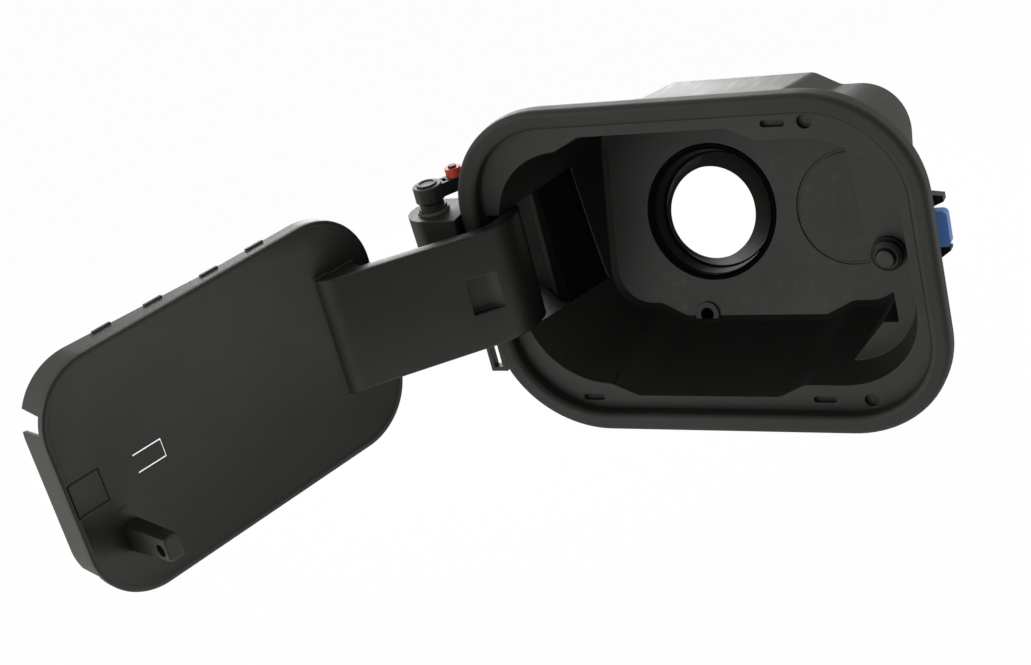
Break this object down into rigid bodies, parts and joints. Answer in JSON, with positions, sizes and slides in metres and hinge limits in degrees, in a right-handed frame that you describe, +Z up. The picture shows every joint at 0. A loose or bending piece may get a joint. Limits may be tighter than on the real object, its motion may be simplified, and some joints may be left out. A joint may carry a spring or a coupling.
{
  "type": "fuel filler housing",
  "caption": "Moulded fuel filler housing with a sealed rim, a swan-neck flap on a sprung hinge, a push latch, a lock bolt and a rubber neck grommet.",
  "frame": {"origin": "middle of the rim, in the plane of the seal's front edge", "axes": "+X to the right as seen from outside the car, +Y into the car, +Z up"},
  "size_m": [0.3067, 0.2774, 0.1536],
  "materials": {
    "housing_plastic": "fine grained black",
    "flap_plastic": "fine grained black",
    "seal_rubber": "satin soft roll",
    "grommet_rubber": "matt black rubber",
    "bush_plastic": "moulded grey",
    "latch_plastic": "moulded black",
    "steel": "zinc plated",
    "clip_orange": "moulded orange red",
    "tab_blue": "moulded blue"
  },
  "bodies": {
    "housing": {"housing_bowl": "housing_plastic", "rim_seal": "seal_rubber", "neck_grommet": "grommet_rubber", "hinge_bush_upper": "bush_plastic", "hinge_bush_lower": "bush_plastic", "opening_spring": "steel", "latch_guide": "latch_plastic", "latch_boot": "grommet_rubber", "latch_spring": "steel", "latch_tab": "tab_blue"},
    "flap": {"flap_carrier": "flap_plastic", "flap_striker": "flap_plastic", "hinge_shaft": "steel", "shaft_clip": "steel", "crank_lever": "housing_plastic", "spring_end_clip": "clip_orange"},
    "plunger": {"latch_plunger": "latch_plastic"},
    "bolt": {"lock_bolt": "steel"}
  },
  "joints": [
    {"name": "flap_hinge", "type": "hinge", "parent": "housing", "child": "flap", "pos_m": [-0.1195, 0.0085, 0], "axis": [0, 0, 1], "range_deg": [0, 110.6], "stiffness_Nm_per_rad": 0.06},
    {"name": "plunger_push", "type": "slide", "parent": "housing", "child": "plunger", "axis": [0, 1, 0], "range_m": [0, 0.005], "stiffness_N_per_m": 400},
    {"name": "bolt_slide", "type": "slide", "parent": "housing", "child": "bolt", "axis": [-1, 0, 0], "range_m": [0, 0.013]}
  ]
}
